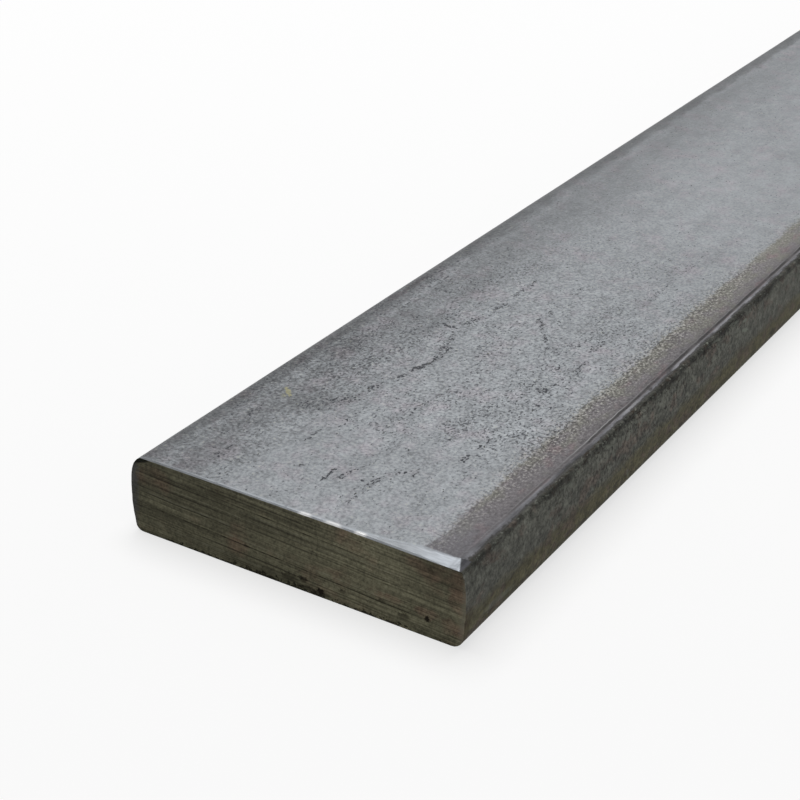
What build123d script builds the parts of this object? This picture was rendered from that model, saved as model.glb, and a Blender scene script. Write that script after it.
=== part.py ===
"""Hot rolled steel flat bar, 45 x 10 mm in section, in a sawn stock length.

The bar is one rolled piece. It lies on its back face, with +X along its length, +Y across its width and +Z up
through its thickness. The origin is the centre of the back face, midway along the bar.

The edging rolls leave both long sides slightly swollen between rounded corners, and lean them a little: the -Y side
is fullest near the back face, and the +Y side near the front face. Along the -Y side they also leave a shoulder
that falls away from the front face, a fine groove at its foot, and a low bead on the corner itself. Both ends are
sawn square. A light bevel takes the burr off the top edge of each, and at the -X end a file has taken a shallow,
tapering facet off the front face at the bead side.
"""

import os

from build123d import *

# Driving dimensions, in millimetres.
bar_length = 500.0
bar_width = 45.0  # over the swell of both sides
bar_thickness = 10.0  # over the two flat faces

# Long side at -Y, with the bead. Each inset is from the side's fullest line to a corner line, before it is rounded.
bead_side_full_height = 3.5
bead_side_front_inset = 0.7
bead_side_back_inset = 0.15
bead_side_front_radius = 0.4
bead_side_back_radius = 1.3

# Plain long side at +Y, given in the same way.
plain_side_full_height = 6.5
plain_side_front_inset = 0.45
plain_side_back_inset = 0.9
plain_side_front_radius = 1.6
plain_side_back_radius = 0.9

# Bead side of the front face. Each place is measured inwards from the corner line of the -Y side.
shoulder_start = 5.65  # where the front face begins to fall away
groove_place = 1.5  # the foot of the shoulder
groove_depth = 0.18  # the foot of the shoulder below the front face
bead_edge_place = 0.7  # the outer foot of the bead
bead_edge_depth = 0.14  # the outer foot of the bead below the front face
bead_crest_depth = 0.02  # the top of the bead below the front face

# Sawn ends.
deburr_bevel = 0.15
file_facet_depth = 0.3  # how far the facet reaches down the end, at the corner
file_facet_length = 2.5  # how far it reaches along the bar, at the corner
file_facet_reach = 16.0  # how far along the end's top edge it tapers away

half_length = bar_length / 2
half_width = bar_width / 2
bead_corner_y = -half_width + bead_side_front_inset
plain_corner_y = half_width - plain_side_front_inset

shoulder_y = bead_corner_y + shoulder_start
groove_y = bead_corner_y + groove_place
bead_edge_y = bead_corner_y + bead_edge_place
bead_crest_y = (groove_y + bead_edge_y) / 2
bead_edge_z = bar_thickness - bead_edge_depth
bead_crest_z = bar_thickness - bead_crest_depth


def corner_near(sketch, y, z):
    """The vertex of the section that is nearest to the place (y, z) on its own plane."""
    return sketch.vertices().sort_by_distance((y, z, 0))[0]


def file_facet_plane():
    """The plane of the filed facet, facing out of the bar."""
    on_end = Vector(-half_length, -half_width, bar_thickness - file_facet_depth)
    on_front = Vector(-half_length + file_facet_length, -half_width, bar_thickness)
    on_edge = Vector(-half_length, -half_width + file_facet_reach, bar_thickness)
    outward = (on_front - on_end).cross(on_edge - on_end)
    return Plane(origin=on_end, z_dir=outward)


with BuildPart() as flat_bar:
    # Rolled section, run to the full length.
    with BuildSketch(Plane.YZ.offset(-half_length)) as section:
        with BuildLine():
            back = Line((-half_width + bead_side_back_inset, 0), (half_width - plain_side_back_inset, 0))
            plain_full = (half_width, plain_side_full_height)
            TangentArc(plain_full, back @ 1, tangent=(0, -1))
            plain_side = TangentArc(plain_full, (plain_corner_y, bar_thickness), tangent=(0, 1))
            front = Line(plain_side @ 1, (shoulder_y, bar_thickness))
            shoulder = Line(front @ 1, (groove_y, bar_thickness - groove_depth))
            bead = ThreePointArc(shoulder @ 1, (bead_crest_y, bead_crest_z), (bead_edge_y, bead_edge_z))
            outer_foot = Line(bead @ 1, (bead_corner_y, bead_edge_z))
            bead_full = (-half_width, bead_side_full_height)
            TangentArc(bead_full, outer_foot @ 1, tangent=(0, 1))
            TangentArc(bead_full, back @ 0, tangent=(0, -1))
        make_face()
        rounds = (
            (-half_width + bead_side_back_inset, 0, bead_side_back_radius),
            (half_width - plain_side_back_inset, 0, plain_side_back_radius),
            (plain_corner_y, bar_thickness, plain_side_front_radius),
            (bead_corner_y, bead_edge_z, bead_side_front_radius),
        )
        for corner_y, corner_z, corner_radius in rounds:
            fillet(corner_near(section, corner_y, corner_z), radius=corner_radius)
    extrude(amount=bar_length)

    # Burr taken off the top edge of both ends.
    with BuildSketch(Plane.XZ) as burrs:
        for end in (-1, 1):
            with BuildLine():
                Polyline(
                    (end * half_length, bar_thickness),
                    (end * half_length, bar_thickness - deburr_bevel),
                    (end * (half_length - deburr_bevel), bar_thickness),
                    close=True,
                )
            make_face()
    extrude(amount=half_width, both=True, mode=Mode.SUBTRACT)

    # Facet filed off the corner at the -X end.
    split(bisect_by=file_facet_plane(), keep=Keep.BOTTOM)

flat_bar.part.label = "flat_bar"

os.makedirs("parts", exist_ok=True)
export_step(flat_bar.part, "parts/flat_bar.step")
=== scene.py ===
import math

import bmesh
import bpy
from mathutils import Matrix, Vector, noise


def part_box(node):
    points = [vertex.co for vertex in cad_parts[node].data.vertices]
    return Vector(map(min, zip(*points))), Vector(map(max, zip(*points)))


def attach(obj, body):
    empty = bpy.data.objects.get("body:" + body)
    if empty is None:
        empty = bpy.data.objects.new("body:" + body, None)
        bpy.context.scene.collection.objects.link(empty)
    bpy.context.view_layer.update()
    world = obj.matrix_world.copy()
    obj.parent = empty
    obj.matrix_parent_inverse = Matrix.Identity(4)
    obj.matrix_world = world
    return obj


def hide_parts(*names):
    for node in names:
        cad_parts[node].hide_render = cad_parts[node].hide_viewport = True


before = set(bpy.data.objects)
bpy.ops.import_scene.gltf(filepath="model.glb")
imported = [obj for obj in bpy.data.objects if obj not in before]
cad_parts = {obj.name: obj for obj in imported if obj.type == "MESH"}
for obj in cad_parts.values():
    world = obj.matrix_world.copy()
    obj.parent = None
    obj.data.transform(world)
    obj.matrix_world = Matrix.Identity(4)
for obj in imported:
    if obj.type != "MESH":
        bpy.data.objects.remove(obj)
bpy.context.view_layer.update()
mm = 0.001

# Camera. It stands off the sawn end, above the bar and on the side of its bead, and looks down its length. It
# leans a little, so that the long edges of the end fall away to the right.
bpy.ops.object.camera_add(
    location=(-409.46 * mm, -97.44 * mm, 119.52 * mm),
    rotation=[math.radians(turn) for turn in (63.024, -3.516, -60.192)],
)
camera = bpy.context.object
camera.name = "camera"
camera.data.sensor_width = 36
camera.data.lens = 86.62
camera.data.clip_start = 10 * mm
bpy.context.scene.camera = camera
bpy.context.scene.view_settings.view_transform = "Standard"


# Floor and backdrop. One wide sheet of pale paper, which the bar lies on. Paper and sky look white to the
# camera and in reflections, and light the steel no more than a pale grey room would.
class Amount:
    """A value inside a finish. Arithmetic on it adds Math nodes."""

    def __init__(self, finish, socket):
        self.finish = finish
        self.socket = socket

    def other(self, name):
        """Another output of the node that this value comes from."""
        return Amount(self.finish, self.socket.node.outputs[name])

    def __add__(self, more):
        return self.finish.maths("ADD", self, more)

    def __sub__(self, less):
        return self.finish.maths("SUBTRACT", self, less)

    def __rsub__(self, start):
        return self.finish.maths("SUBTRACT", start, self)

    def __mul__(self, times):
        return self.finish.maths("MULTIPLY", self, times)

    def __truediv__(self, parts):
        return self.finish.maths("DIVIDE", self, parts)

    __radd__ = __add__
    __rmul__ = __mul__


class Finish:
    """A surface finish, built node by node."""

    def __init__(self, owner):
        owner.use_nodes = True
        self.tree = owner.node_tree
        self.tree.nodes.clear()

    def node(self, kind, settings, sockets, output=0):
        """Adds a node with its settings and sockets, and gives back one of its outputs."""
        made = self.tree.nodes.new(kind)
        for name, value in settings.items():
            if name == "stops":
                ramp = made.color_ramp
                while len(ramp.elements) < len(value):
                    ramp.elements.new(0.5)
                for stop, (position, colour) in zip(ramp.elements, value):
                    stop.position = position
                    stop.color = colour
            else:
                setattr(made, name, value)
        for name, value in sockets.items():
            if isinstance(value, Amount):
                self.tree.links.new(value.socket, made.inputs[name])
            else:
                made.inputs[name].default_value = value
        if made.outputs:
            return Amount(self, made.outputs[output])

    def maths(self, operation, *values):
        return self.node("ShaderNodeMath", {"operation": operation}, dict(enumerate(values)))


def looked_at(finish):
    """1 where the camera looks, also in a reflection or through glass, and 0 for the light on the bar."""
    camera_ray = finish.node("ShaderNodeLightPath", {}, {}, "Is Camera Ray")
    looks = finish.maths("MAXIMUM", camera_ray, camera_ray.other("Is Glossy Ray"))
    return finish.maths("MAXIMUM", looks, camera_ray.other("Is Transmission Ray"))


bpy.ops.object.select_all(action="DESELECT")
bpy.ops.mesh.primitive_plane_add(size=8)
floor = bpy.context.object
floor.name = "floor"

paper_grey = 0.35
paper_white = 1.03
paper = bpy.data.materials.new("pale_paper")
floor.data.materials.append(paper)
finish = Finish(paper)
sheet = finish.node("ShaderNodeBsdfDiffuse", {}, {"Color": (paper_grey, paper_grey, paper_grey, 1)})
glow = finish.node("ShaderNodeEmission", {}, {"Strength": looked_at(finish) * (paper_white - paper_grey)})
both = finish.node("ShaderNodeAddShader", {}, {0: sheet, 1: glow})
finish.node("ShaderNodeOutputMaterial", {}, {"Surface": both})

room_light = 0.3
sky = bpy.data.worlds.new("pale_room")
bpy.context.scene.world = sky
finish = Finish(sky)
air = finish.node("ShaderNodeBackground", {}, {"Strength": room_light + looked_at(finish) * (1 - room_light)})
finish.node("ShaderNodeOutputWorld", {}, {"Surface": air})


# Lamp. One large soft box hangs over the bar, a little behind it.
lamp_place = Vector((50 * mm, 250 * mm, 1000 * mm))
bpy.ops.object.light_add(type="AREA", location=lamp_place)
soft_box = bpy.context.object
soft_box.name = "soft_box"
soft_box.data.shape = "SQUARE"
soft_box.data.size = 800 * mm
soft_box.data.energy = 8
soft_box.rotation_euler = lamp_place.to_track_quat("Z", "Y").to_euler()


# Bar. One length of hot rolled mild steel, 45 x 10 mm. The edging rolls swelled both long sides and leaned
# them over a little, and on the -Y side they turned up a shoulder, a groove and a low bead. Both ends are
# sawn square.
low, high = (Vector(corner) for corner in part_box("flat_bar"))
bpy.ops.object.select_all(action="DESELECT")
bpy.ops.mesh.primitive_cube_add(size=1, location=(low + high) / 2, scale=high - low)
bar = bpy.context.object
bar.name = "rolled_bar"
bpy.ops.object.transform_apply(location=True, rotation=True, scale=True)
bpy.ops.object.mode_set(mode="EDIT")
across = Vector((0, 1, 0))
upwards = Vector((0, 0, 1))
lengthwise = Vector((1, 0, 0))
near_end, far_end = low.x / mm, high.x / mm
half_width, thickness = high.y / mm, high.z / mm
length, width = far_end - near_end, 2 * half_width
on_line = 0.001 * mm  # how close to a new line a vertex counts as on it


def select(parts, chosen):
    """Selects vertices, edges or faces whose place and direction pass a test. Places are in millimetres."""
    bpy.ops.mesh.select_mode(type={"verts": "VERT", "edges": "EDGE", "faces": "FACE"}[parts])
    bpy.ops.mesh.select_all(action="DESELECT")
    shape = bmesh.from_edit_mesh(bar.data)
    for part in getattr(shape, parts):
        if parts == "verts":
            place, way = part.co, part.normal
        elif parts == "edges":
            ends = [vertex.co for vertex in part.verts]
            place, way = (ends[0] + ends[1]) / 2, (ends[1] - ends[0]).normalized()
        else:
            place, way = part.calc_center_median(), part.normal
        if chosen(place / mm, way):
            part.select_set(True)
    bmesh.update_edit_mesh(bar.data)


def cut(places, axis, chosen):
    """Cuts the faces that pass a test, square to an axis, at each place in millimetres along it."""
    for place in places:
        select("faces", chosen)
        bpy.ops.mesh.bisect(plane_co=axis * place * mm, plane_no=axis, threshold=on_line)


def spaced(start, end, step):
    """Evenly spaced places between two others, without the two themselves."""
    count = round(abs(end - start) / step)
    return [start + (end - start) * k / count for k in range(1, count)]


def same(first, second):
    """Whether two places agree within a hundredth of a millimetre."""
    return abs(first - second) < 0.01


# Long sides, as in the section of the solid. For the -Y side and the +Y side: the height of its fullest line,
# how far its back and front corners stand in from that line, and their radii. Lines along a side are moved in
# one by one, on the curve of its swell.
fullest = {-1: 3.5, 1: 6.5}
back_inset = {-1: 0.15, 1: 0.9}
front_inset = {-1: 0.7, 1: 0.45}
back_radius = {-1: 1.3, 1: 0.9}
front_radius = {-1: 0.4, 1: 1.6}
side_lines = [1.5 + 0.5 * k for k in range(14)]
neck_lines = spaced(8, 9.5, 0.15)
cut(side_lines, upwards, lambda place, way: abs(way.z) < 0.5)
cut(neck_lines, upwards, lambda place, way: way.y < -0.5)
for side in (-1, 1):
    for line in (0, *side_lines, *neck_lines, thickness):
        if line < fullest[side]:
            inwards = back_inset[side] * (1 - line / fullest[side]) ** 2
        else:
            inwards = front_inset[side] * ((line - fullest[side]) / (thickness - fullest[side])) ** 2
        select("verts", lambda place, way: same(place.z, line) and same(place.y, side * half_width))
        bpy.ops.transform.translate(value=(0, -side * inwards * mm, 0))

# Lines of the bead side, inwards from its corner line, and how far they lie below the front face.
bead_corner = -half_width + front_inset[-1]
shoulder_line = bead_corner + 5.65
groove_line, groove_drop = bead_corner + 1.5, 0.18
crest_line, crest_drop = bead_corner + 1.1, 0.02
foot_line, foot_drop = bead_corner + 0.7, 0.14
cut([shoulder_line, groove_line, crest_line, foot_line], across, lambda place, way: way.z > 0.9)
for line, drop in (
    (groove_line, groove_drop),
    (crest_line, crest_drop),
    (foot_line, foot_drop),
    (bead_corner, foot_drop),
):
    select("verts", lambda place, way: same(place.y, line) and place.z > 9.9)
    bpy.ops.transform.translate(value=(0, 0, -drop * mm))

# Rounded long corners: side, whether at the front, inset, radius and steps of the round.
for side, at_front, inset, radius, steps in (
    (-1, False, back_inset[-1], back_radius[-1], 5),
    (1, False, back_inset[1], back_radius[1], 4),
    (1, True, front_inset[1], front_radius[1], 6),
    (-1, True, front_inset[-1], front_radius[-1], 3),
):
    corner_line = side * (half_width - inset)
    select(
        "edges",
        lambda place, way: abs(way.x) > 0.9 and same(place.y, corner_line) and (place.z > 5) == at_front,
    )
    bpy.ops.mesh.bevel(offset=radius * mm, segments=steps)


# Lines over the faces and along the bar, which give the relief something to move. They are close together
# where the camera is near: each zone along the bar has its start, its end and the distance between its lines.
def facing_up(place, way):
    """Whether a face looks up or is on an end."""
    return way.z > 0.6 or abs(way.x) > 0.9


cut(spaced(shoulder_line, half_width - 2, 1.5), across, facing_up)
cut(spaced(groove_line, shoulder_line, 0.4), across, facing_up)
cut(spaced(-21.6, groove_line + 0.36, 0.12), across, facing_up)
cut(spaced(-20.4, 20.4, 3.4), across, lambda place, way: way.z < -0.9)
cut(spaced(0.3, 9.8, 0.25), upwards, lambda place, way: abs(way.x) > 0.9)
zones = [
    (near_end, -217, 0.35),
    (-217, -180, 0.4),
    (-180, -110, 0.8),
    (-110, 0, 1.2),
    (0, far_end, 2.5),
]
cut([end for start, end, step in zones[:-1]], lengthwise, lambda place, way: abs(way.x) < 0.5)
for start, end, step in zones:
    select("edges", lambda place, way: abs(way.x) > 0.9 and start < place.x < end)
    bpy.ops.mesh.subdivide(number_cuts=round((end - start) / step) - 1)
bpy.ops.object.mode_set(mode="OBJECT")


# Relief. The rolls leave the faces a little uneven, the groove deep in some stretches and shallow in others,
# and the bead wavy. Below the bead is a shallow neck, and low on the same side a faint crease. The saw leaves
# fine steps.
def bump(distance, reach):
    """1 at no distance, falling smoothly to 0 at the reach."""
    return max(0, 1 - (distance / reach) ** 2) ** 2


def rise(value, start, end):
    """0 before the start, 1 past the end, and smooth between."""
    share = min(max((value - start) / (end - start), 0), 1)
    return share * share * (3 - 2 * share)


def uneven(place, grain_x, grain_y, grain_z):
    """Smooth unevenness of about -1 to 1 with the given grain along each axis, in millimetres."""
    return noise.noise(Vector((place.x / grain_x, place.y / grain_y, place.z / grain_z)))


bead_side = low.y / mm
saw_slope = 0.044  # the blade's marks climb towards +Y
for vertex in bar.data.vertices:
    place = vertex.co / mm
    along = place.x - near_end
    inboard = place.y - bead_side
    move = Vector()
    on_front = place.z > 9.5
    on_bead = place.z > 9 and inboard < 3.2
    on_neck = place.y < -20 and 8.6 < place.z < 9.86
    on_side = abs(place.y) > 21 and 0.6 < place.z < 9.4
    on_end = abs(place.x) > far_end - 0.01
    if on_front:
        move.z += 0.03 * uneven(place, 14, 7, 9) * rise(along, 2.5, 7)
    if on_bead:
        bead_width = 1 - rise(inboard, 1.6, 3)
        move.y += (0.09 * uneven(place, 4, 9, 9) + 0.07 * uneven(place, 1.3, 9, 9)) * bead_width
        # The groove is shallower near the end and deeper farther along, and the lip above it is uneven.
        groove_change = 0.17 * rise(along, 22, 60) - 0.1 * (1 - rise(along, 12, 45))
        move.z -= groove_change * bump(inboard - 2.2, 0.5)
        move.z += 0.05 * uneven(place, 2.6, 9, 9) * bump(inboard - 1.75, 0.5)
    if on_neck:
        move.y += 0.2 * bump(place.z - 9.4, 0.5) * (0.8 + 0.6 * uneven(place, 2.2, 9, 9))
    if on_side:
        outwards = math.copysign(1, place.y)
        move.y += outwards * (0.05 * uneven(place, 8, 9, 3) + 0.025 * uneven(place, 1.8, 9, 1.2) - 0.04)
        if outwards < 0:
            crease_height = 3.3
            move.y += 0.07 * bump(place.z - crease_height, 0.6)
    if on_end:
        sawn = place.z - saw_slope * place.y
        level = Vector((math.copysign(9, place.x), place.y, sawn))
        move.x += 0.025 * uneven(level, 1, 14, 0.5) + 0.03 * uneven(level, 1, 40, 1.6)
    vertex.co += move * mm

# The burr is filed off the top edge of both ends. Each bevel is cut along its outline, and what stands above
# it is pressed down onto it.
deburr_bevel = 0.15
bpy.ops.object.mode_set(mode="EDIT")
for end in (low.x, high.x):
    on_plane = Vector((end, 0, high.z - deburr_bevel * mm))
    filed_way = Vector((math.copysign(1, end), 0, 1)).normalized()
    bpy.ops.mesh.select_all(action="SELECT")
    bpy.ops.mesh.bisect(plane_co=on_plane, plane_no=filed_way, threshold=on_line)
    shape = bmesh.from_edit_mesh(bar.data)
    for vertex in shape.verts:
        above = (vertex.co - on_plane).dot(filed_way)
        if above > 0:
            vertex.co.z -= above / filed_way.z
    bmesh.update_edit_mesh(bar.data)
    bpy.ops.mesh.select_all(action="SELECT")
    bpy.ops.mesh.remove_doubles(threshold=0.003 * mm)

# At the near end the file has also taken a shallow facet off the front face, longest at the bead side. Its
# outline is cut into the face, and inside it the face is lowered, the more the nearer to the corner.
file_facet_depth = 0.3
file_facet_length = 2.5
file_facet_reach = 16
outline_way = Vector((1 / file_facet_length, 1 / file_facet_reach, 0)).normalized()
select("faces", lambda place, way: way.z > 0.3 and place.x < near_end + file_facet_length + 1)
outline_end = (low.x + file_facet_length * mm, low.y, 0)
bpy.ops.mesh.bisect(plane_co=outline_end, plane_no=outline_way, threshold=on_line)
bpy.ops.object.mode_set(mode="OBJECT")


def filed_share(place):
    """How far into the filed facet a place is: 0 at its outline, 1 at the corner, and less than 0 outside."""
    return 1 - (place.x - near_end) / file_facet_length - (place.y - bead_side) / file_facet_reach


for vertex in bar.data.vertices:
    place = vertex.co / mm
    depth = (file_facet_depth - deburr_bevel) * max(0, filed_share(place))
    vertex.co.z -= depth * rise(place.z, 9.2, 9.8) * mm

# Flat map of the surface, for the finish to be baked on: the wrapped faces and the back in two half lengths
# each, and the two ends, in rows one below another. Places on it are in millimetres of surface.
map_size = 256
margin = 3
near_side_row, front_row, far_side_row, back_row, ends_row = 1, 12, 58, 140, 233
wrapped_half, back_half, second_end = 69, 46.5, 50  # how far the second of two rows is from the first
far_side_top = 10.3
flat = bar.data.uv_layers.new(name="OFBake")
for face in bar.data.polygons:
    half = 0 if face.center.x < 0 else 1
    for corner_index in face.loop_indices:
        place = bar.data.vertices[bar.data.loops[corner_index].vertex_index].co / mm
        start = place.x - near_end if half == 0 else place.x
        inboard = place.y - bead_side
        if abs(face.normal.x) > 0.5:
            spot = (second_end * half + inboard, ends_row + place.z)
        elif face.normal.z < -0.7:
            spot = (start, back_row + back_half * half + inboard)
        elif face.normal.z > 0.7:
            spot = (start, front_row + wrapped_half * half + inboard)
        elif face.normal.y < 0:
            spot = (start, near_side_row + wrapped_half * half + place.z)
        else:
            spot = (start, far_side_row + wrapped_half * half + far_side_top - place.z)
        flat.data[corner_index].uv = ((margin + spot[0]) / map_size, spot[1] / map_size)


def tint(red, green, blue):
    """A colour by how it reads on a screen, from 0 to 255 for each part."""
    return (*(((part / 255 + 0.055) / 1.055) ** 2.4 for part in (red, green, blue)), 1)


class SteelFinish(Finish):
    """A finish of the bar. It knows a place in millimetres: along, inboard from the bead side, and height."""

    def __init__(self, name):
        steel = bpy.data.materials.new(name)
        bar.data.materials.append(steel)
        super().__init__(steel)
        metres = self.node("ShaderNodeTexCoord", {}, {}, "Object")
        self.place = self.node("ShaderNodeVectorMath", {"operation": "SCALE"}, {0: metres, "Scale": 1 / mm})
        x = self.node("ShaderNodeSeparateXYZ", {}, {0: self.place}, "X")
        self.along = x - near_end
        self.inboard = x.other("Y") - bead_side
        self.height = x.other("Z")
        self.grains = 0

    def grain(self, size, detail=2, stretch=(1, 1, 1)):
        """Noise of about -1 to 1, in grains of a size in millimetres, stretched along each axis."""
        self.grains += 1
        repeats = [1 / (size * times) for times in stretch]
        sockets = {0: self.place, "Scale": repeats, "Location": (7.3 * self.grains, 0, 0)}
        place = self.node("ShaderNodeMapping", {}, sockets)
        sockets = {"Vector": place, "Scale": 1, "Detail": detail, "Roughness": 0.7}
        return self.node("ShaderNodeTexNoise", {}, sockets) * 4 - 2

    def between(self, value, start, end):
        """0 up to the start, 1 from the end, and smooth between."""
        sockets = {"Value": value, "From Min": start, "From Max": end}
        return self.node("ShaderNodeMapRange", {"interpolation_type": "SMOOTHSTEP"}, sockets)

    def near(self, value, middle, reach):
        """1 where a value is close to the middle, falling to 0 a reach away from it."""
        return self.between(self.maths("ABSOLUTE", value - middle), reach, reach * 0.3)

    def profile(self, value, span, *stops):
        """An amount that follows a value from 0 to a span through stops, each a place and its amount."""
        stops = [(place / span, (amount, amount, amount, 1)) for place, amount in stops]
        return self.node("ShaderNodeValToRGB", {"stops": stops}, {0: value / span})

    def marked(self, across_place, up_place, marks):
        """How deep the deepest mark is here. Each has a middle, turn in degrees, length, width and depth."""
        flat_place = self.node("ShaderNodeCombineXYZ", {}, {0: across_place, 1: up_place, 2: 1})
        deepest = 0
        for first, second, turn, length, width, depth in marks:
            away = 0
            for way, size in ((math.radians(turn), length / 2), (math.radians(turn + 90), width / 2)):
                along_way = (math.cos(way) / size, math.sin(way) / size)
                offset = -first * along_way[0] - second * along_way[1]
                sockets = {0: flat_place, 1: (*along_way, offset)}
                reach = self.node("ShaderNodeVectorMath", {"operation": "DOT_PRODUCT"}, sockets, "Value")
                away = self.maths("MULTIPLY_ADD", reach, reach, away)
            sockets = {"Value": away, "From Min": 1, "From Max": 0.1, "To Max": depth}
            mark = self.node("ShaderNodeMapRange", {"interpolation_type": "SMOOTHSTEP"}, sockets)
            deepest = self.maths("MAXIMUM", mark, deepest)
        return deepest

    def blend(self, share, colour, other):
        """One colour, going over to another by a share."""
        return self.node("ShaderNodeMix", {"data_type": "RGBA"}, {0: share, 6: colour, 7: other}, 2)

    def shade(self, colour, amount):
        """A colour made lighter or darker."""
        if isinstance(colour, tuple):
            colour = colour[:3]
        return self.node("ShaderNodeVectorMath", {"operation": "SCALE"}, {0: colour, "Scale": amount})

    def finished(self, colour, roughness, metallic, relief, gloss):
        """The shader itself, with relief in millimetres."""
        normal = self.node("ShaderNodeBump", {}, {"Height": relief, "Distance": mm, "Strength": 1})
        sockets = {
            "Base Color": colour,
            "Roughness": roughness,
            "Metallic": metallic,
            "Specular IOR Level": gloss,
            "Normal": normal,
        }
        shader = self.node("ShaderNodeBsdfPrincipled", {}, sockets)
        self.node("ShaderNodeOutputMaterial", {}, {"Surface": shader})


# Mill scale, the skin of the front and back. It is blue-grey and matt with a grain like orange peel, darker
# along the +Y edge, with painted shade on the outer band where that edge rounds over, and rubbed brown
# beside the bead. Pits lie in it singly and in trails, where flaws were rolled in.
scale = SteelFinish("mill_scale")
along, inboard = scale.along, scale.inboard
front = scale.between(scale.height, 4, 6)
crisp = scale.profile(
    along, length, (0, 0.7), (22, 0.8), (32, 1), (70, 0.95), (95, 0.6), (130, 0.35), (220, 0.35), (320, 0.8)
)
fine = scale.grain(0.45, 2)
lumps = scale.grain(1.3, 2, (1.3, 1, 1))
coarser = 1 + scale.between(inboard, 30, 36) * scale.between(along, 60, 20) * 0.6
grit = (fine * 0.62 + lumps * 0.2) * crisp * coarser

# Darker scale towards the +Y edge, and painted shade on its outermost band, where the edge rounds over.
# Farther along the bar only that outer band stays dark.
drift = inboard + scale.grain(5, 2, (2.2, 1, 1)) * 0.9 + scale.grain(1.1, 2, (4, 1, 1)) * 0.5
dark_scale_and_edge_shade = scale.profile(
    drift,
    width,
    (22, 1),
    (29, 0.94),
    (34, 0.79),
    (37.5, 0.66),
    (39.5, 0.6),
    (40.7, 0.68),
    (42.1, 0.44),
    (43.4, 0.32),
)
shade_reach = scale.maths("MAXIMUM", scale.between(along, 420, 70), scale.between(drift, 40, 42))
dark_scale_and_edge_shade = 1 - (1 - dark_scale_and_edge_shade) * shade_reach
mottle = scale.grain(3.2, 2, (1.8, 1, 1)) * 0.12 + scale.grain(14, 1, (2, 1, 1)) * 0.07

# Smudges and cleaner patches: the middle of each along the bar and inboard, its turn in degrees, its length,
# width and depth.
smudges = (
    (5, 37.8, 0, 18, 6, 0.18),
    (12, 39.5, -4, 26, 4, 0.08),
    (23.5, 35.2, -22, 9, 6, 0.26),
    (26.5, 32.4, -30, 8, 4, 0.16),
    (40, 39.8, 2, 13, 5, 0.2),
    (53, 35.5, -8, 12, 8, 0.12),
    (68, 35.5, 3, 18, 4, 0.14),
    (62, 42.8, 0, 18, 1.4, 0.4),
    (38, 42.4, 0, 24, 1.6, 0.25),
    (14, 22, -8, 16, 7, 0.07),
)
clean_patches = (
    (63, 40.4, 0, 26, 1.6, 0.2),
    (0, 15, 90, 16, 4, 0.06),
)
drifted_along = along + lumps * 0.8
drifted_inboard = inboard + lumps * 0.5
smudged = scale.marked(drifted_along, drifted_inboard, smudges)
cleaned = scale.marked(drifted_along, drifted_inboard, clean_patches)
tone = dark_scale_and_edge_shade * (1 - smudged * front) * (1 + cleaned * front)
# Farther along the bar the front is painted a little lighter, a painted sheen.
tone = tone * (1 + mottle) * (1 + grit) * (1 + scale.between(along, 60, 200) * 0.04)
warm = scale.between(scale.grain(4, 2) + smudged * 2, -0.2, 1.2)
colour = scale.blend(warm, tint(151, 155, 159), tint(159, 156, 162))
colour = scale.shade(colour, tone)

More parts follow.
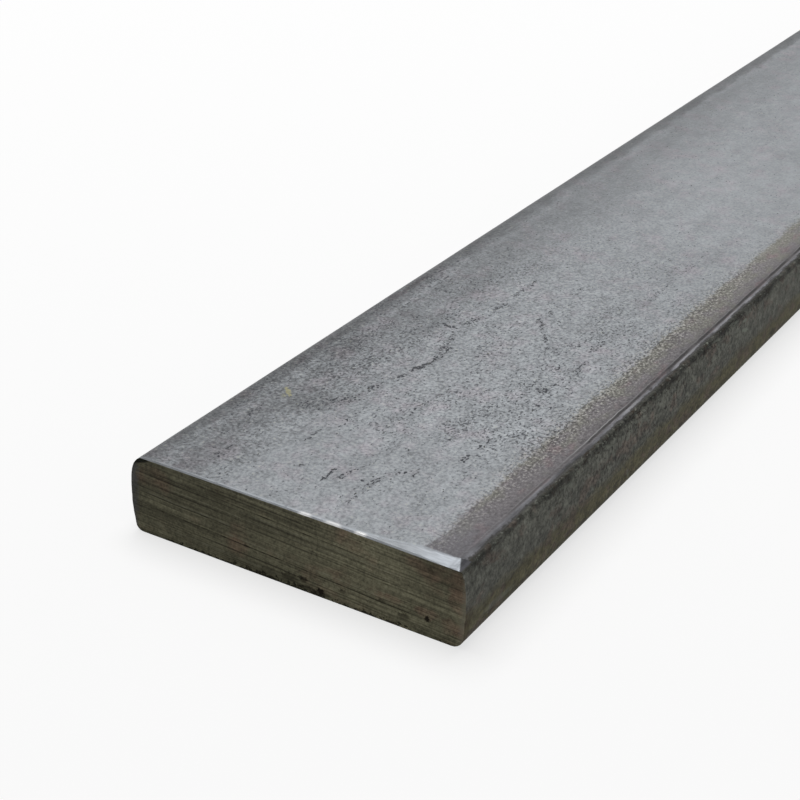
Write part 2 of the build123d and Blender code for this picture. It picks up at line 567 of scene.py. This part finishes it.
# Flaws, given in the same way.
flaws = (
    (9.4, 23.6, 0, 5.4, 0.4, 1.1),
    (10.6, 23, 0, 2.6, 0.35, 0.8),
    (10.4, 22.1, -9, 5.6, 0.7, 0.75),
    (13.4, 21.1, -16, 5, 0.6, 0.5),
    (10, 18.4, -2, 9, 0.8, 0.7),
    (6, 18.6, 0, 6, 0.6, 0.45),
    (9.2, 27.3, 60, 1.1, 0.9, 1),
    (10.4, 19.7, 60, 0.9, 0.6, 0.9),
    (19.5, 18.6, 36, 3.4, 0.6, 0.6),
    (14.4, 17, -30, 4, 1.2, 0.45),
    (16, 15.4, 8, 5, 0.7, 0.5),
    (16.8, 30.3, 0, 8, 0.5, 0.6),
    (23, 28.8, 0, 9, 0.6, 0.5),
    (11, 39.3, 0, 2.4, 0.6, 0.75),
    (17.6, 39.5, 2, 5.6, 0.9, 0.7),
    (6.4, 36.5, 2, 8, 1.2, 0.55),
    (22, 12.5, -3, 4.4, 0.8, 0.9),
    (26.6, 12.2, 0, 5, 0.7, 0.85),
    (25.4, 16.4, -30, 2, 0.5, 0.9),
    (23.6, 34.6, -30, 7, 4, 0.55),
    (26.6, 32.2, -38, 7, 2.4, 0.7),
    (31.5, 30.9, -9, 9, 1.1, 0.65),
    (36.6, 29.8, -16, 5, 0.9, 0.65),
    (41, 28.9, -8, 6.6, 0.9, 1.35),
    (44.6, 28.5, 4, 4.6, 1, 1.15),
    (47.6, 29, 12, 5.4, 1.6, 1),
    (51, 30, 12, 6, 1.2, 0.9),
    (50.5, 33.4, 70, 5, 2.6, 0.5),
    (54.3, 32.2, 90, 4.6, 0.6, 1.4),
    (54.4, 37.3, 84, 2.6, 1.4, 0.9),
    (57.6, 34.7, 20, 3.4, 0.8, 0.6),
    (58, 30.2, -8, 5, 1, 1.2),
    (64.2, 29.3, -4, 5, 0.8, 1.1),
    (72, 29.4, 1, 12, 1, 0.6),
    (33.4, 26.6, 20, 2, 0.6, 0.8),
    (30.4, 23.4, 0, 7, 0.8, 0.65),
    (37, 22.8, 2, 7, 0.7, 0.6),
    (41.4, 22.3, 0, 1.6, 0.6, 1),
    (52.8, 23.5, 0, 3, 0.7, 0.6),
    (55.8, 17.9, 20, 2.6, 0.6, 0.9),
    (58.6, 19.6, 30, 4.8, 0.5, 1.1),
    (62.2, 21.8, 30, 5.6, 0.5, 1.2),
    (63.4, 22.9, 10, 2, 1, 1),
    (67, 22.7, 20, 2.4, 1, 1),
    (64.6, 20.4, 30, 5, 0.6, 0.6),
    (76, 22.7, 5, 5, 1.1, 0.6),
    (38.5, 9.8, 0, 22, 1, 0.35),
    (35, 11.6, 0, 14, 0.7, 0.6),
    (39.8, 11.6, 0, 1.4, 0.6, 1),
    (40, 14.4, 0, 4, 0.6, 0.7),
    (44.2, 12.8, -6, 4.4, 0.9, 1),
    (45.4, 14.6, 8, 4, 0.6, 0.8),
    (46.6, 12.4, -30, 2, 0.8, 1),
    (51.4, 14.2, 0, 5, 0.6, 0.9),
    (53, 11.8, 0, 6.4, 1, 0.9),
    (59.2, 14.9, 6, 2, 0.6, 0.9),
    (60.6, 12.8, 0, 6.4, 1.4, 0.7),
    (64.8, 15.1, 0, 2.4, 0.5, 0.7),
    (88, 13, 0, 40, 0.8, 0.45),
)
ragged_along = along + scale.grain(1.5) * 0.35
raggedness = scale.profile(along, length, (15, 0.1), (22, 0.3))
ragged_inboard = inboard + scale.grain(0.8, 2, (1.4, 1, 1)) * raggedness
spread = 1.35  # how much wider than a flaw its pits are scattered
flaws = [(*flaw[:4], flaw[4] * spread, flaw[5]) for flaw in flaws]
flawed = scale.marked(ragged_along, ragged_inboard, flaws) * front
clusters = scale.grain(4.5, 2, (2.6, 1, 1))
crowded = scale.profile(
    inboard, width, (0, 0.2), (8, 0.3), (14, 0.4), (21, 0.32), (27, 0.14), (34, 0.36), (43, 0.35)
)
crowded = crowded * scale.between(along, 110, 70) * scale.between(along, -5, 35)
speckled = scale.grain(0.32, 1, (1.6, 1, 1))
pits = scale.between(speckled + clusters * 0.4 + crowded, 0.7, 1.1) * crisp
cracks = scale.between(speckled * 1.25 + scale.maths("POWER", flawed, 0.8) * 1.1, 0.95, 1.4)
pits = scale.maths("MAXIMUM", pits * 0.8, cracks)
colour = scale.blend(pits, scale.shade(colour, 1 - flawed * 0.15), tint(66, 68, 73))

# One yellowish fleck of dry paint.
paint_marks = ((24.4, 38.9, 46, 3.8, 0.6, 1), (23.2, 38.8, 30, 1.8, 1.2, 0.4))
fleck = scale.marked(ragged_along, inboard + fine * 0.2, paint_marks)
colour = scale.blend(scale.between(fleck + fine * 0.5, 0.15, 0.9) * front * 0.75, colour, tint(158, 154, 114))

# The rubbed strip beside the bead, where the scale has broken away grain by grain. It is purplish near the
# end and olive farther along, with pink patches towards the bead, and most broken along its inner edge.
strip_drift = inboard + scale.grain(0.45, 2) * 0.6 + scale.grain(3.4, 2, (2, 1, 1)) * 0.45
rubbed = scale.between(strip_drift, 6.9, 6.0) * front
olive = scale.grain(2.2, 2, (2, 1, 1)) * 0.8 + inboard * 0.22 + scale.between(along, 15, 60) * 0.5
strip = scale.blend(scale.between(olive, 0.9, 1.9), tint(117, 113, 116), tint(120, 119, 112))
pinkish = scale.between(scale.grain(2.4, 2, (2.4, 1, 1)), 0.15, 0.7) * scale.between(inboard, 6.4, 4.4)
strip = scale.blend(pinkish * 0.8, strip, tint(125, 109, 112))
strip = scale.blend(scale.between(along, 16, 4) * 0.6, strip, tint(116, 115, 121))
strip_tone = scale.profile(
    inboard, 10, (2.1, 0.72), (2.8, 0.75), (3.6, 0.88), (4.6, 0.97), (5.6, 1), (6.6, 1.15)
)
strip_tone = strip_tone * (1 - scale.between(along, 6, 2.5) * 0.15)
strip_tone = strip_tone * (1 + scale.between(along, 60, 120) * 0.1)
strip = scale.shade(strip, strip_tone * (1 + grit))
colour = scale.blend(rubbed, colour, strip)
broken_edge = scale.profile(
    inboard, 10, (2.6, 0), (3.6, 0.35), (4.8, 0.75), (6, 1), (6.8, 0.75), (8.4, 0.15), (9.6, 0)
)
broken_along = scale.profile(along, length, (3, 0.3), (16, 0.55), (32, 1), (90, 0.9), (110, 0.4))
broken_edge = broken_edge * broken_along * front
grains = scale.grain(0.3, 1, (1.5, 1, 1))
colour = scale.blend(scale.between(grains, 0.25, 0.65) * broken_edge * 0.9, colour, tint(188, 186, 180))
colour = scale.blend(scale.between(grains, -0.15, -0.5) * broken_edge * 0.9, colour, tint(62, 59, 56))

# The bead is rubbed smooth and light on its crest. Its groove is painted dark where it is deep, a painted
# shade, below a thin lip with a painted highlight, and its outer edge is dark and uneven with painted shade.
wander = scale.grain(1.5, 2, (2.4, 1, 1))
bead_drift = inboard + wander * 0.12
bead_start = scale.profile(along, 50, (0, 2.9 / 3), (0.4, 0.83), (30, 0.73), (45, 0.7)) * 3
on_bead = scale.between(bead_drift, bead_start, bead_start - 0.5) * front
patches = scale.grain(2.2, 1, (2.4, 1, 1))
crest = scale.profile(
    along, length, (0, 0.8), (10, 0.57), (32, 0.55), (44, 0.8), (60, 0.88), (100, 0.83), (130, 0.7)
)
crest = crest * (1 + fine * 0.2 + patches * 0.8)
colour = scale.blend(on_bead, colour, scale.shade(tint(128, 128, 133), crest))
worn_bright = (
    (47, 1.75, 0, 7, 0.5, 0.6),
    (67, 1.75, 0, 11, 0.5, 0.7),
    (76, 1.75, 0, 3, 0.5, 0.7),
    (83, 1.8, 0, 3.6, 0.5, 0.7),
)
worn = scale.marked(ragged_along, bead_drift, worn_bright) * (1 + patches * 0.6) * front
colour = scale.blend(worn, colour, tint(158, 158, 162))
groove_drift = inboard + wander * 0.08
# A painted highlight along the thin lip above the groove.
lip_highlight = scale.profile(along, length, (1, 0.1), (28, 0.2), (34, 0.9), (44, 0.9), (50, 0.4), (90, 0.3))
lip = scale.near(groove_drift, 2.52, 0.14) * lip_highlight * (1 + patches * 0.8)
colour = scale.blend(lip * front, colour, tint(164, 163, 164))
# Painted shade in the groove, strongest where the groove is deep, together with pits rolled into it.
painted_groove_shade = scale.profile(
    along, length, (10, 0), (15, 0.35), (30, 0.4), (36, 0.95), (48, 0.85), (70, 1), (130, 0.85)
)
in_groove = scale.near(groove_drift, 2.33, 0.28) * painted_groove_shade * (1 + patches * 0.7)
rolled_pits = ((47, 2.2, 0, 3, 0.5, 1.2), (53.6, 2, 30, 2.6, 0.8, 0.8), (60.4, 2.1, 12, 4, 0.9, 0.7))
in_groove = scale.maths("MAXIMUM", in_groove, scale.marked(ragged_along, groove_drift, rolled_pits))
colour = scale.blend(in_groove * front, colour, tint(52, 50, 51))
# Painted shade on the bead's outer edge, where it rounds down to the side.
bead_edge_shade = scale.between(inboard + wander * 0.2 + fine * 0.08, 1.64, 1.44) * front
colour = scale.blend(bead_edge_shade, colour, scale.shade(tint(56, 55, 53), 1 + fine * 0.4))

# The file has brushed the scale bright around its facet and along the end's top edge, where a painted
# highlight runs with painted glints in three places; the bead's corner beside it has painted shade.
brush_reach = scale.profile(inboard, width, (1, 0.6), (7, 0.53), (11, 0.3), (16, 0.16), (45, 0.12)) * 4
# Bright filed scale around the facet, and a painted highlight in the narrow line along the end's top edge.
bright_filing_and_highlight = scale.between(along + fine * 0.15, brush_reach, brush_reach - 0.4) * front
brightness = scale.profile(
    inboard, width, (0, 0.95), (4, 0.75), (8, 0.4), (11, 0.55), (22, 0.65), (30, 0.5), (44, 0.2)
)
colour = scale.blend(bright_filing_and_highlight * brightness, colour, tint(190, 197, 204))
# Painted glints in three places along the end's top edge.
glint_places = (21, 17.3, 13.8)
painted_glints = 0
for glint_place, reach in zip(glint_places, (1, 1.2, 0.8)):
    painted_glints = scale.near(inboard, glint_place, reach) + painted_glints
painted_glints = painted_glints * scale.between(along, 0.65, 0.3)
colour = scale.blend(scale.maths("MINIMUM", painted_glints, 1) * front * 0.8, colour, tint(245, 245, 244))
# Painted shade on the bead's corner beside the filed facet.
bead_corner_shade = scale.between(inboard - along * 0.45, 1.4, 1.15) * scale.between(along, 2.8, 1.8)
colour = scale.blend(bead_corner_shade * front * 0.95, colour, tint(54, 53, 58))

relief = fine * crisp * 0.02 + lumps * 0.02 - pits * 0.05 + mottle * 0.05
scale.finished(colour, 0.5 + fine * 0.06 + pits * 0.2, 0.15 * (1 - rubbed), relief, 0.25)

# The rolled sides. Their scale is darker and greener, mottled with brown, and olive towards the back face.
edge = SteelFinish("rolled_side")
along = edge.along
fine = edge.grain(0.5, 2)
lumps = edge.grain(1.5, 2, (1.3, 1, 1))
height = edge.height + edge.grain(2.5, 2, (2, 1, 1)) * 0.7
olive = edge.between(height, 5.2, 3.4)
colour = edge.blend(olive, tint(118, 119, 111), tint(113, 109, 86))
warm = edge.between(edge.grain(2.4, 2, (1.6, 1, 1)), 0.05, 0.6)
colour = edge.blend(warm * 0.6, colour, tint(118, 104, 96))
# Painted light and shade up the side: dark at the foot, dark at the crease low down, lighter on its bulges,
# and darkest just below the bead.
side_shading = edge.profile(
    height,
    thickness,
    (0, 0.4),
    (0.8, 0.6),
    (1.4, 0.82),
    (2.5, 1.08),
    (3.6, 0.85),
    (5, 0.93),
    (8, 1.08),
    (9, 0.92),
    (9.6, 0.3),
)
# Farther along, the band just below the bead is painted darker still, a painted shade under the bead.
side_shading = side_shading * (1 - edge.between(edge.height, 8.8, 9.5) * edge.between(along, 35, 110) * 0.4)
rough = edge.profile(
    along, length, (0, 0.6), (20, 0.75), (40, 1.1), (75, 1), (100, 0.5), (220, 0.5), (320, 0.9)
)
rough = rough * (1 - edge.between(edge.height, 5, 3.5) * 0.35)
colour = edge.shade(colour, side_shading * (1 + fine * rough * 0.95) * (1 + lumps * 0.55))
grains = edge.grain(0.36, 1, (1.7, 1, 1)) + edge.grain(5, 1) * 0.2
high_up = edge.between(height, 5, 7.5) * rough
colour = edge.blend(edge.between(grains, 0.4, 0.95) * high_up * 0.7, colour, tint(144, 148, 138))
flecked = edge.grain(0.5, 1, (1.5, 1, 1)) + edge.between(edge.height, 7.5, 9.4) * 0.35
flecked = flecked + edge.grain(4, 1) * 0.3
colour = edge.blend(edge.between(flecked, 0.65, 1.05) * 0.8 * rough, colour, tint(52, 45, 38))

# Scrapes and pits of the bead's side: the middle of each along the bar and up the side, its turn in degrees,
# its length, width and depth.
scrapes = (
    (85, 7, -16, 3.6, 0.7, 1),
    (84.8, 8.5, -8, 2.4, 0.6, 0.8),
    (81, 9.4, -4, 5, 0.4, 0.5),
    (74, 9.3, -8, 4, 0.4, 0.45),
    (33, 5, -40, 1.4, 0.4, 0.6),
    (47, 8.4, -12, 5, 0.5, 0.4),
    (38, 8.6, -20, 4, 0.5, 0.4),
    (26, 8.6, -12, 5, 0.5, 0.35),
    (44.4, 2, -50, 2.6, 0.4, 0.35),
    (8, 2.3, -3, 10, 1.2, 0.28),
)
pits = (
    (55.7, 6.7, -20, 1.4, 0.5, 1),
    (59.6, 8.1, -20, 1.2, 0.5, 0.8),
    (69.6, 9.3, 0, 1.6, 0.8, 0.9),
    (66.8, 7.6, -20, 3, 1.4, 0.4),
    (58.6, 9.4, 0, 3, 0.9, 0.8),
    (39.4, 6.4, -20, 1.2, 0.5, 0.7),
    (98, 2, -10, 4, 1.4, 0.6),
    (62, 1.6, -20, 3, 0.8, 0.4),
    (15, 1.2, -6, 8, 1.2, 0.4),
    (31, 1.4, -6, 4, 0.9, 0.35),
)
on_bead_side = edge.between(edge.inboard, 10, 5)
ragged_along = along + fine * 0.3
ragged_height = edge.height + fine * 0.15
scraped = edge.marked(ragged_along, ragged_height, scrapes) * on_bead_side
colour = edge.blend(scraped, colour, tint(158, 164, 152))
pitted = edge.marked(ragged_along, ragged_height, pits) * on_bead_side
colour = edge.blend(pitted, colour, tint(30, 27, 23))
stained_end = edge.between(along + lumps, 2.6, 0.4) * edge.between(edge.height, 7, 4)
colour = edge.blend(stained_end * 0.5, colour, tint(74, 58, 38))
relief = fine * 0.04 * rough + lumps * 0.05
edge.finished(colour, 0.62 + fine * 0.06, 0, relief, 0.08)

# The sawn ends. Bare steel that has dulled to a dark olive, scored by the blade, with brown stains.
sawn = SteelFinish("saw_cut")
inboard, height = sawn.inboard, sawn.height
level = height - saw_slope * inboard + sawn.grain(9, 1) * 0.05
flat_place = sawn.node("ShaderNodeCombineXYZ", {}, {0: inboard / 16, 1: level})


def scores(step, seed):
    """Noise of about -1 to 1 in long marks, a step apart in millimetres, as the saw leaves them."""
    sockets = {0: flat_place, "Scale": (1, 1 / step, 1), "Location": (0, 0, seed)}
    place = sawn.node("ShaderNodeMapping", {}, sockets)
    return sawn.node("ShaderNodeTexNoise", {}, {"Vector": place, "Scale": 1, "Detail": 1}) * 4 - 2


fine_scores, wide_scores = scores(0.2, 3), scores(0.7, 8)
fine = sawn.grain(0.36, 2)
lumps = sawn.grain(1.6, 3)
lit = sawn.profile(
    inboard, width, (0, 1.12), (3, 1.06), (8, 1.25), (15, 1.2), (22, 0.9), (30, 0.74), (40, 0.7), (44, 0.64)
)
shaded = sawn.between(height, 5, 8) * sawn.between(inboard, 13, 4) * 0.36
low_light = sawn.between(height, 6.5, 4) * sawn.between(inboard, 18, 34) * 0.22
tone = lit * (1 - shaded) * (1 + low_light)
tone = tone * (1 + fine_scores * 0.52 + wide_scores * 0.26) * (1 + lumps * 0.3 + fine * 0.4)

# Stains: the middle of each inboard and up the end, its turn in degrees, its length, height and strength.
stain_places = (
    (42, 7.5, 0, 8, 5, 1),
    (30.5, 2.8, 0, 6, 3, 0.7),
    (9.6, 3, 0, 6, 2, 1),
    (4.5, 3, 0, 5, 2, 0.8),
    (1.6, 2.2, 0, 4, 3, 1),
    (1.2, 6.2, 0, 3, 5, 1),
    (4, 8.6, 0, 10, 3.4, 0.9),
)
stains = sawn.grain(3.4, 2, (1, 1.4, 1))
stains = stains + sawn.marked(inboard + lumps * 0.5, height + lumps * 0.5, stain_places)
colour = sawn.blend(sawn.between(stains, 0.1, 1.6), tint(132, 129, 107), tint(143, 124, 105))
colour = sawn.shade(colour, tone)

# The deepest scores, and some that shine: their level on the saw's slope, where they begin and end, and how
# deep they are, with less than nothing for a light one.
for at_level, start, end, depth in (
    (1.92, 6, 43, 0.8),
    (3.55, 27, 43, 0.6),
    (3.75, 30, 43, -0.4),
    (4.4, 3, 28, 0.45),
    (5.85, 4, 25, 0.5),
    (6.1, 8, 30, -0.35),
    (6.6, 12, 34, 0.6),
    (5.3, 16, 40, -0.3),
    (4.95, 20, 40, 0.4),
    (2.5, 10, 36, -0.3),
    (0.75, 22, 44, 0.5),
    (-0.1, 24, 42, -0.35),
):
    stretch = sawn.between(inboard, start - 2, start + 3) * sawn.between(inboard, end + 2, end - 3)
    score = sawn.near(level, at_level, 0.14) * stretch * (0.85 + lumps) * abs(depth)
    colour = sawn.blend(score, colour, tint(52, 50, 38) if depth > 0 else tint(160, 158, 138))

# Blots, given as the stains are, painted shade along the back edge, and the dark corner on the +Y side
# with a bluish rim below it. A thin sliver of the bead's corner is light.
blots = (
    (4.7, 2.3, 0, 1, 0.8, 0.65),
    (4.6, 8.5, 30, 1, 0.8, 0.5),
    (20.8, 1.6, 0, 1.6, 1, 0.75),
    (22.6, 1.2, 0, 3, 1.4, 0.5),
    (19.6, 0.5, 0, 6, 0.8, 0.6),
    (18.4, 0.8, 0, 1.4, 0.8, 0.8),
    (15.6, 1.8, 0, 1.2, 0.7, 0.6),
    (10.4, 2.5, 0, 1, 0.8, 0.45),
    (7.6, 1.5, 0, 2, 1.2, 0.5),
    (28.6, 3.2, 0, 1, 0.6, 0.5),
    (33, 8.6, 0, 4, 1.6, 0.3),
    (27, 6.4, 0, 6, 2.4, 0.2),
)
blotted = sawn.marked(inboard + fine * 0.25, height + fine * 0.25, blots)
colour = sawn.blend(blotted * (1 + lumps), colour, tint(34, 29, 21))
# Painted shade along the back edge of the end.
foot_shade = sawn.profile(inboard, width, (2, 0.15), (8, 0.28), (16, 0.42), (25, 0.42), (36, 0.3), (43, 0.15))
foot_shade = sawn.between(height + sawn.grain(0.7, 2) * 0.6, foot_shade, foot_shade - 0.25)
colour = sawn.blend(foot_shade * 0.85, colour, tint(32, 31, 22))
rim = sawn.between(inboard + fine * 0.5, 43.8, 44.4)
colour = sawn.blend(rim * 0.7, colour, sawn.shade(tint(96, 98, 100), 1 + lumps * 0.5))
corner_slope = 0.37
dark_corner = sawn.between(height - (width - inboard) * corner_slope + fine * 0.06, 8.6, 8.85)
dark_corner = dark_corner * sawn.between(inboard, 42.2, 42.9)
colour = sawn.blend(dark_corner, colour, tint(24, 26, 18))
sliver = sawn.between(inboard + fine * 0.4, 0.8, 0.3) * sawn.between(height, 9.5, 9)
colour = sawn.blend(sliver * 0.45, colour, tint(168, 160, 142))
relief = fine_scores * 0.02 + wide_scores * 0.02 + fine * 0.015
sawn.finished(colour, 0.6, 0, relief, 0.06)

# Filed steel, bright where the file has cut deepest, with painted glints in places along the rest of the
# burr line, and painted shade at the bead's corner.
filed = SteelFinish("filed_steel")
inboard = filed.inboard
bright = filed.profile(
    inboard, width, (0, 0.95), (3, 0.9), (6, 0.6), (9, 0.45), (24, 0.5), (36, 0.4), (45, 0.2)
)
strokes = filed.grain(0.3, 1, (1, 5, 1))
# Painted glints along the burr line.
painted_glints = 0
for glint_place, reach in zip(glint_places, (1.2, 1.6, 1)):
    painted_glints = filed.near(inboard, glint_place, reach) + painted_glints
colour = filed.blend(bright, tint(100, 101, 102), tint(164, 169, 175))
colour = filed.blend(filed.maths("MINIMUM", painted_glints, 1) * 0.8, colour, tint(220, 220, 220))
# Painted shade on the bead's corner beside the filed facet.
bead_corner_shade = filed.between(inboard - filed.along * 0.45, 1.35, 1.15) * filed.between(inboard, 4, 3)
colour = filed.blend(bead_corner_shade * 0.95, colour, tint(42, 41, 45))
filed.finished(filed.shade(colour, 1 + strokes * 0.15), 0.42 + strokes * 0.05, 0.85, strokes * 0.006, 0.5)

# Which finish each face has, by the order in which the finishes were made. On the front face, mill scale and
# filed steel begin a little inboard, past the round of the bead.
mill_scale, rolled_side, saw_cut, filed_steel = range(4)
scale_start = 1.3
filed_start = 1
for face in bar.data.polygons:
    place, way = face.center / mm, face.normal
    inboard = place.y - bead_side
    if abs(way.x) > 0.9:
        face.material_index = saw_cut
    elif abs(way.x) > 0.5 or (way.z > 0.9 and filed_share(place) > 0 and inboard > filed_start):
        face.material_index = filed_steel
    elif abs(way.z) > 0.7 and (place.z < thickness / 2 or inboard > scale_start):
        face.material_index = mill_scale
    else:
        face.material_index = rolled_side
bpy.ops.object.select_all(action="DESELECT")
bar.select_set(True)
bpy.context.view_layer.objects.active = bar
bpy.ops.object.shade_smooth_by_angle(angle=math.radians(30))

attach(bar, "root")
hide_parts("flat_bar")
